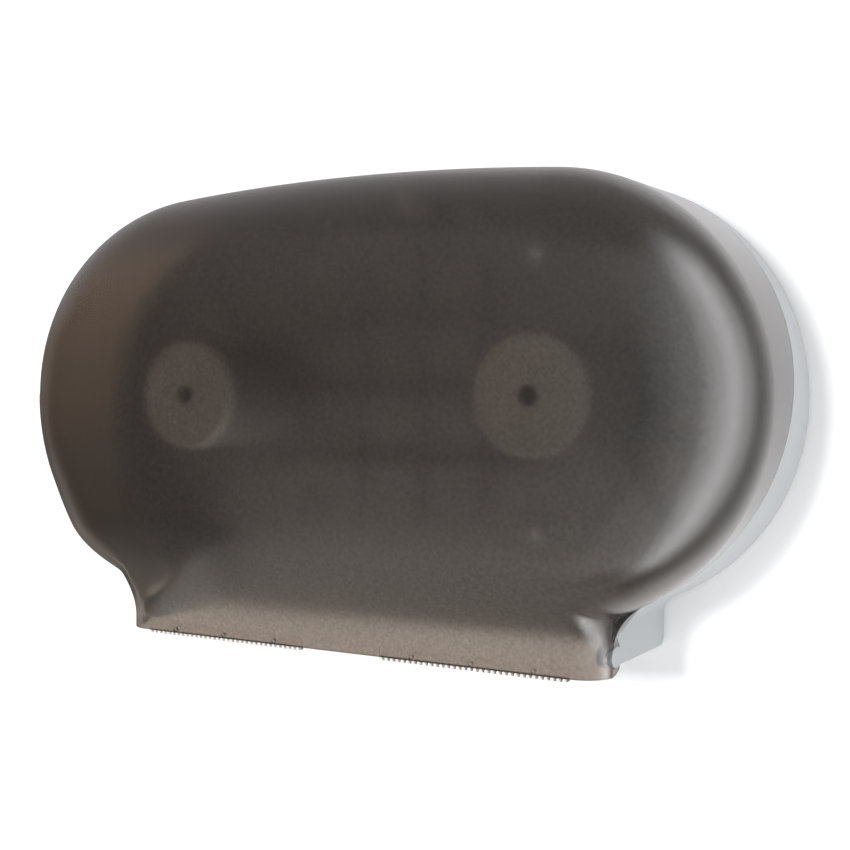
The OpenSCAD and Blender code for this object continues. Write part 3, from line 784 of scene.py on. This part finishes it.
def mirrored_light(n, place):
    """Light that reflections find: a tall soft light on the right, and a dim one above."""
    turn = n.math("ARCTAN2", place["X"], n.math("MULTIPLY", place["Y"], -1.0))
    stops = [(0.5 + degrees / 360, light / MIRRORED_MOST) for degrees, light in MIRRORED_ROUND]
    level = n.ramp(n.math("ADD", n.math("DIVIDE", turn, 2 * math.pi), 0.5), stops, "EASE")
    tall = n.step(n.math("ABSOLUTE", place["Z"]), *MIRRORED_TALL, 0.0, level)
    above = n.step(place["Z"], *MIRRORED_RISE, 0.0, MIRRORED_ABOVE / MIRRORED_MOST)
    strength = n.math("MULTIPLY", n.math("MAXIMUM", tall, above), MIRRORED_MOST)
    return n.blend(strength, (0, 0, 0), MIRRORED_TINT)


def studio_world():
    """Pale room, brighter on the right and warm on the left, with a light of its own for each kind of ray."""
    world = bpy.data.worlds.new("studio")
    world.use_nodes = True
    bpy.context.scene.world = world
    n = Nodes(world.node_tree)
    place = n.place("Generated")
    mirrored_room = mirrored_light(n, place)
    seen, inside, outside = [room_light(n, place, light) for light in (SEEN, INDOORS, OUTDOORS)]
    ray = n.new("LightPath").outputs
    mirrored = n.math("MULTIPLY", ray["Is Glossy Ray"], ray["Is Reflection Ray"])
    scattered = n.math("GREATER_THAN", ray["Diffuse Depth"], 0.5)
    passed = n.math("GREATER_THAN", ray["Transmission Depth"], 0.5)
    shown = n.blend(scattered, n.blend(mirrored, seen, mirrored_room), n.blend(passed, outside, inside))
    background = world.node_tree.nodes["Background"]
    n.put(background.inputs["Color"], shown)
    n.put(background.inputs["Strength"], 1.0)


def key_light():
    """Soft light in front, a little left and above, that no reflection or ray through the cover finds."""
    data = bpy.data.lights.new("key", "AREA")
    data.shape = "RECTANGLE"
    data.size = KEY_SIZE
    data.size_y = KEY_SIZE
    data.energy = KEY_POWER
    key = new_object("key", data)
    key.location = KEY_PLACE
    key.rotation_euler = (-Vector(KEY_PLACE)).to_track_quat("-Z", "Y").to_euler()
    key.visible_glossy = False
    key.visible_transmission = False


def photo_camera():
    """Camera that sees the part as the photograph does."""
    data = bpy.data.cameras.new("camera")
    data.sensor_width = SENSOR_MM
    data.lens = FOCAL_PX / IMAGE_PX * data.sensor_width
    data.shift_y = (HORIZON_ROW - IMAGE_PX / 2) / IMAGE_PX
    camera = new_object("camera", data)
    camera.location = CAMERA_PLACE
    camera.rotation_euler = (math.radians(90), 0, math.radians(CAMERA_YAW))
    bpy.context.scene.camera = camera


# Finishes
front_smoke = smoked_plastic("smoked_front", (0.20, 0.25), 0.17)
side_smoke = smoked_plastic("smoked_side", (0.14, 0.20), 0.03)
inner_smoke = smoked_plastic("smoked_inside", (0.10, 0.14))
# Near black metal for the washers and screws in the hub bores, as painted shade of the holes
hole_shade_zinc = metal("hole_shade_zinc", 0.05, 0.08, (0.4, 0.5))
FINISHES = {"tray_plastic": moulded("grey_plastic", tray_colour),
            "hub_plastic": moulded("hub_painted_shade", hub_colour_and_shade),
            "bar_plastic": toothed_strip(),
            "zinc_steel": metal("zinc", (0.50, 0.50, 0.48), (0.66, 0.66, 0.64), (0.3, 0.45)),
            "lock_chrome": metal("nickel", (0.66, 0.65, 0.63), (0.76, 0.75, 0.74), (0.14, 0.24)),
            "smoked_cover": front_smoke}

# Nodes that stay, each with the finish of its slot
slot_of = {row["node"]: row["material_slot"] for row in frame["record"]["subparts"]}
for name, obj in frame["nodes"].items():
    obj.data.materials.clear()
    obj.data.materials.append(FINISHES[slot_of[name]])
# Washers and screws in the hub bores are painted near black as shade of the holes
for name in ("hub_washers", "hub_screws"):
    frame["nodes"][name].data.materials[0] = hole_shade_zinc

# Tray and tear bars, rounded at their edges. The bars stand a little off the cover, so that no faces coincide
dressed("base_tray", "tray", "tray_plastic", TRAY_EDGE)
for name in ("tear_bar_left", "tear_bar_right"):
    dressed(name, "cover", "bar_plastic", BAR_EDGE, moved=(0, BAR_EASE, 0))

# Cover
cover = make_cover(front_smoke, side_smoke, inner_smoke)
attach(cover, "cover")
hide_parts("front_cover")

# Stage, light and camera
floor_finish = pale("pale_floor", 0.90, 0.93, 0.0)
flat_plane("floor", [(-FLOOR_REACH, -FLOOR_REACH, FLOOR_Z), (FLOOR_REACH, -FLOOR_REACH, FLOOR_Z),
                     (FLOOR_REACH, FLOOR_REACH, FLOOR_Z), (-FLOOR_REACH, FLOOR_REACH, FLOOR_Z)], floor_finish)
flat_plane("wall", [(-WALL_REACH, WALL_Y, FLOOR_Z), (WALL_REACH, WALL_Y, FLOOR_Z),
                    (WALL_REACH, WALL_Y, WALL_TOP), (-WALL_REACH, WALL_Y, WALL_TOP)], wall_plaster())
studio_world()
key_light()
photo_camera()
bpy.context.scene.view_settings.view_transform = "Standard"
